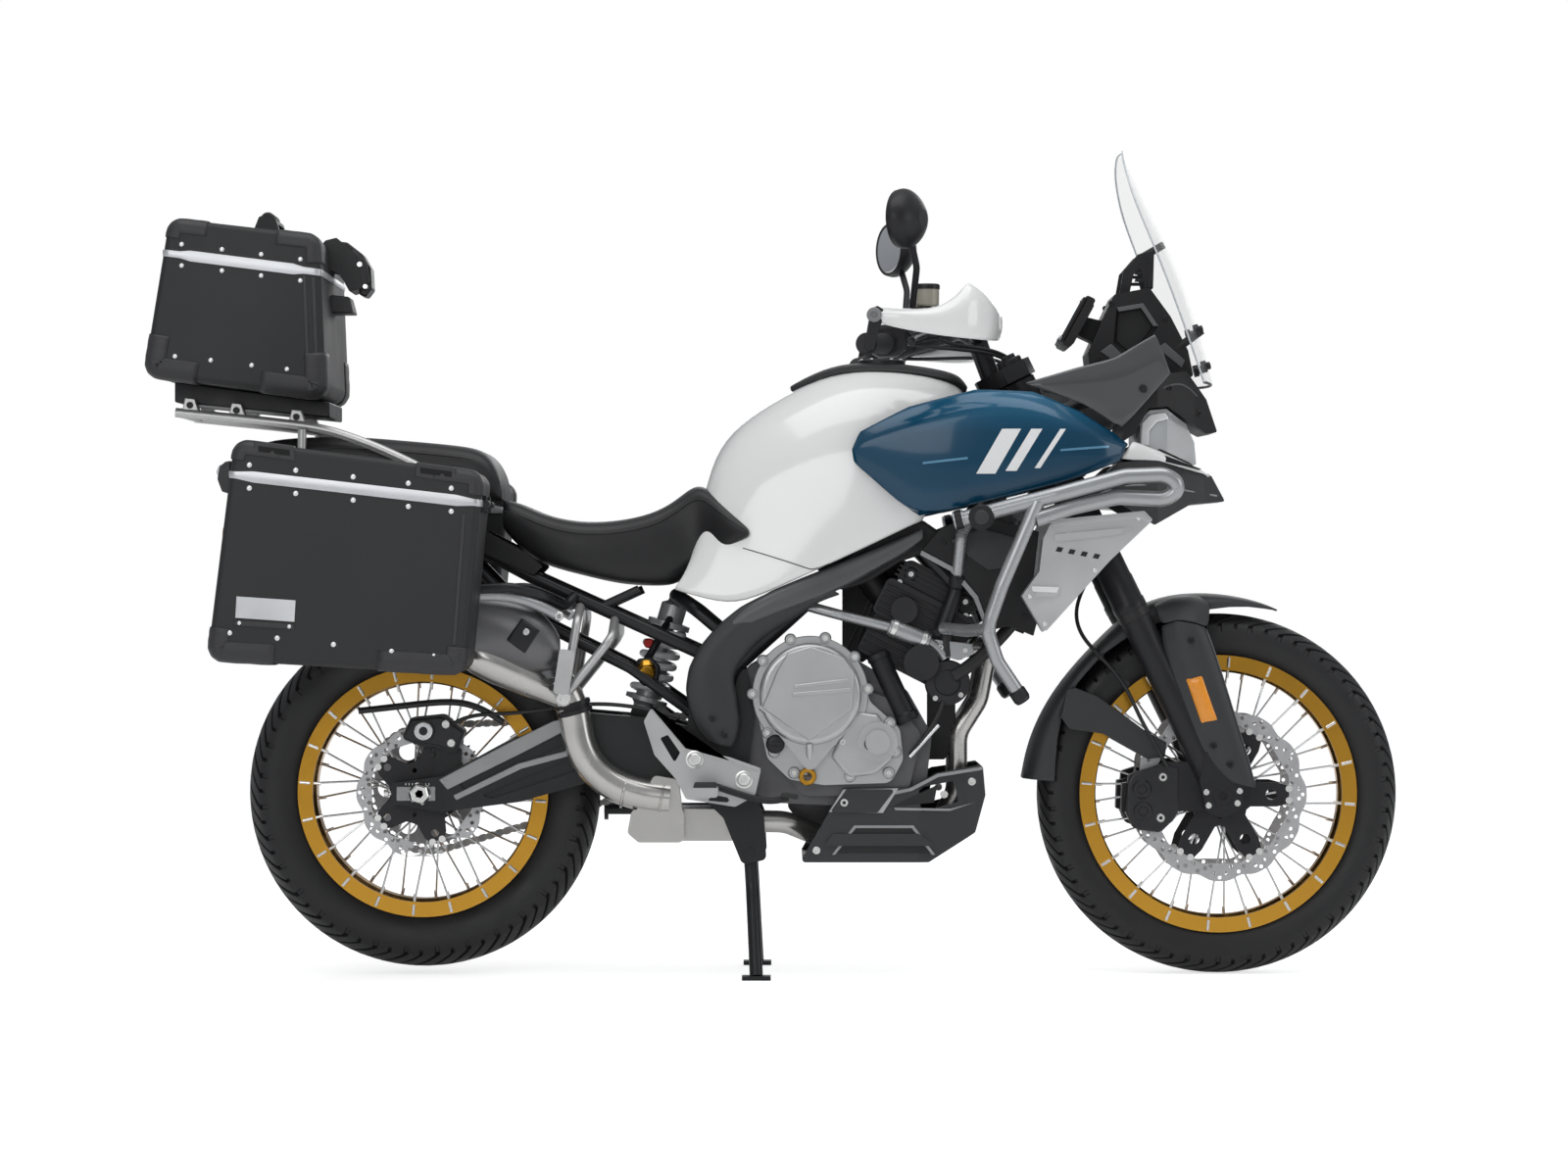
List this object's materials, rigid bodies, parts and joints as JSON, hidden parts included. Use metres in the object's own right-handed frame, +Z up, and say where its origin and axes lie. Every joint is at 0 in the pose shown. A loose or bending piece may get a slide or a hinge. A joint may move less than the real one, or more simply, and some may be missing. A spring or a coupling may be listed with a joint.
{
  "type": "adventure motorcycle",
  "caption": "Tall long-travel touring motorcycle with spoked wheels, windscreen, engine bars, a top case and two side cases, on its centre stand.",
  "frame": {"origin": "floor point under the middle of the machine's length and width", "axes": "+X forward, +Y to the rider's left, +Z up"},
  "size_m": [2.262, 1, 1.502],
  "materials": {
    "tyre": "matt",
    "gold_rim": "satin",
    "bright_metal": "satin",
    "steel": "brushed",
    "frame_paint": "satin",
    "grey_plastic": "matt",
    "engine_grey": "cast",
    "aluminium": "brushed",
    "black_metal": "satin",
    "white_paint": "gloss",
    "blue_paint": "gloss",
    "black_plastic": "matt",
    "seat_cover": "textured",
    "lamp_glass": "clear",
    "clear_screen": "clear",
    "smoked_screen": "smoked",
    "case_shell": "textured"
  },
  "bodies": {
    "chassis": {"main_frame": "frame_paint", "frame_side_covers": "grey_plastic", "subframe": "frame_paint", "swingarm": "frame_paint", "drive_chain": "steel", "front_sprocket": "steel", "shock_absorber": "bright_metal", "crankcase": "engine_grey", "cylinder_head": "engine_grey", "engine_covers": "bright_metal", "exhaust_pipes": "steel", "muffler": "steel", "skid_plate": "grey_plastic", "radiator": "black_metal", "radiator_shrouds": "aluminium", "crash_bars": "aluminium", "fuel_tank": "white_paint", "tank_side_panels": "blue_paint", "tank_top_trim": "black_plastic", "seat": "seat_cover", "tail_unit": "black_plastic", "side_racks": "black_metal", "top_rack": "black_metal", "rider_footrests": "aluminium", "pillion_footrests": "aluminium", "front_fairing": "black_plastic", "nose_fins": "white_paint", "nose_beak": "grey_plastic", "headlight": "lamp_glass", "windscreen": "clear_screen", "wind_deflectors": "smoked_screen", "side_case_left": "case_shell", "side_case_right": "case_shell", "top_case": "case_shell"},
    "steering": {"fork": "black_metal", "front_fender": "grey_plastic", "handlebar": "black_metal", "handguards": "white_paint", "mirrors": "black_plastic"},
    "front_wheel": {"front_tyre": "tyre", "front_rim": "gold_rim", "front_hub": "bright_metal", "front_discs": "steel"},
    "rear_wheel": {"rear_tyre": "tyre", "rear_rim": "gold_rim", "rear_hub": "bright_metal", "rear_disc": "steel"},
    "centre_stand": {"centre_stand": "black_metal"},
    "side_stand": {"side_stand": "black_metal"},
    "top_case_lid": {"top_case_lid": "case_shell"},
    "side_case_lid_left": {"side_case_lid_left": "case_shell"},
    "side_case_lid_right": {"side_case_lid_right": "case_shell"}
  },
  "joints": [
    {"name": "steering_turn", "type": "hinge", "parent": "chassis", "child": "steering", "pos_m": [0.45192, 0, 0.97379], "axis": [-0.4384, 0, 0.8988], "range_deg": [-34, 34]},
    {"name": "front_wheel_spin", "type": "hinge", "parent": "steering", "child": "front_wheel", "pos_m": [0.80201, 0, 0.329], "axis": [0, 1, 0], "continuous": true},
    {"name": "rear_wheel_spin", "type": "hinge", "parent": "chassis", "child": "rear_wheel", "pos_m": [-0.64799, 0, 0.333], "axis": [0, 1, 0], "continuous": true},
    {"name": "centre_stand_fold", "type": "hinge", "parent": "chassis", "child": "centre_stand", "pos_m": [-0.05199, 0, 0.228], "axis": [0, 1, 0], "range_deg": [0, 85]},
    {"name": "side_stand_unfold", "type": "hinge", "parent": "chassis", "child": "side_stand", "pos_m": [-0.06299, 0.168, 0.292], "axis": [0, -0.9063, -0.4226], "range_deg": [0, 96]},
    {"name": "top_case_lid_open", "type": "hinge", "parent": "chassis", "child": "top_case_lid", "pos_m": [-1.10623, 0, 1.30322], "axis": [0, -1, 0], "range_deg": [0, 95]},
    {"name": "side_case_lid_left_open", "type": "hinge", "parent": "chassis", "child": "side_case_lid_left", "pos_m": [-0.50703, 0.382, 0.85069], "axis": [0, 1, 0], "range_deg": [0, 95]},
    {"name": "side_case_lid_right_open", "type": "hinge", "parent": "chassis", "child": "side_case_lid_right", "pos_m": [-0.50703, -0.382, 0.85069], "axis": [0, 1, 0], "range_deg": [0, 95]}
  ]
}
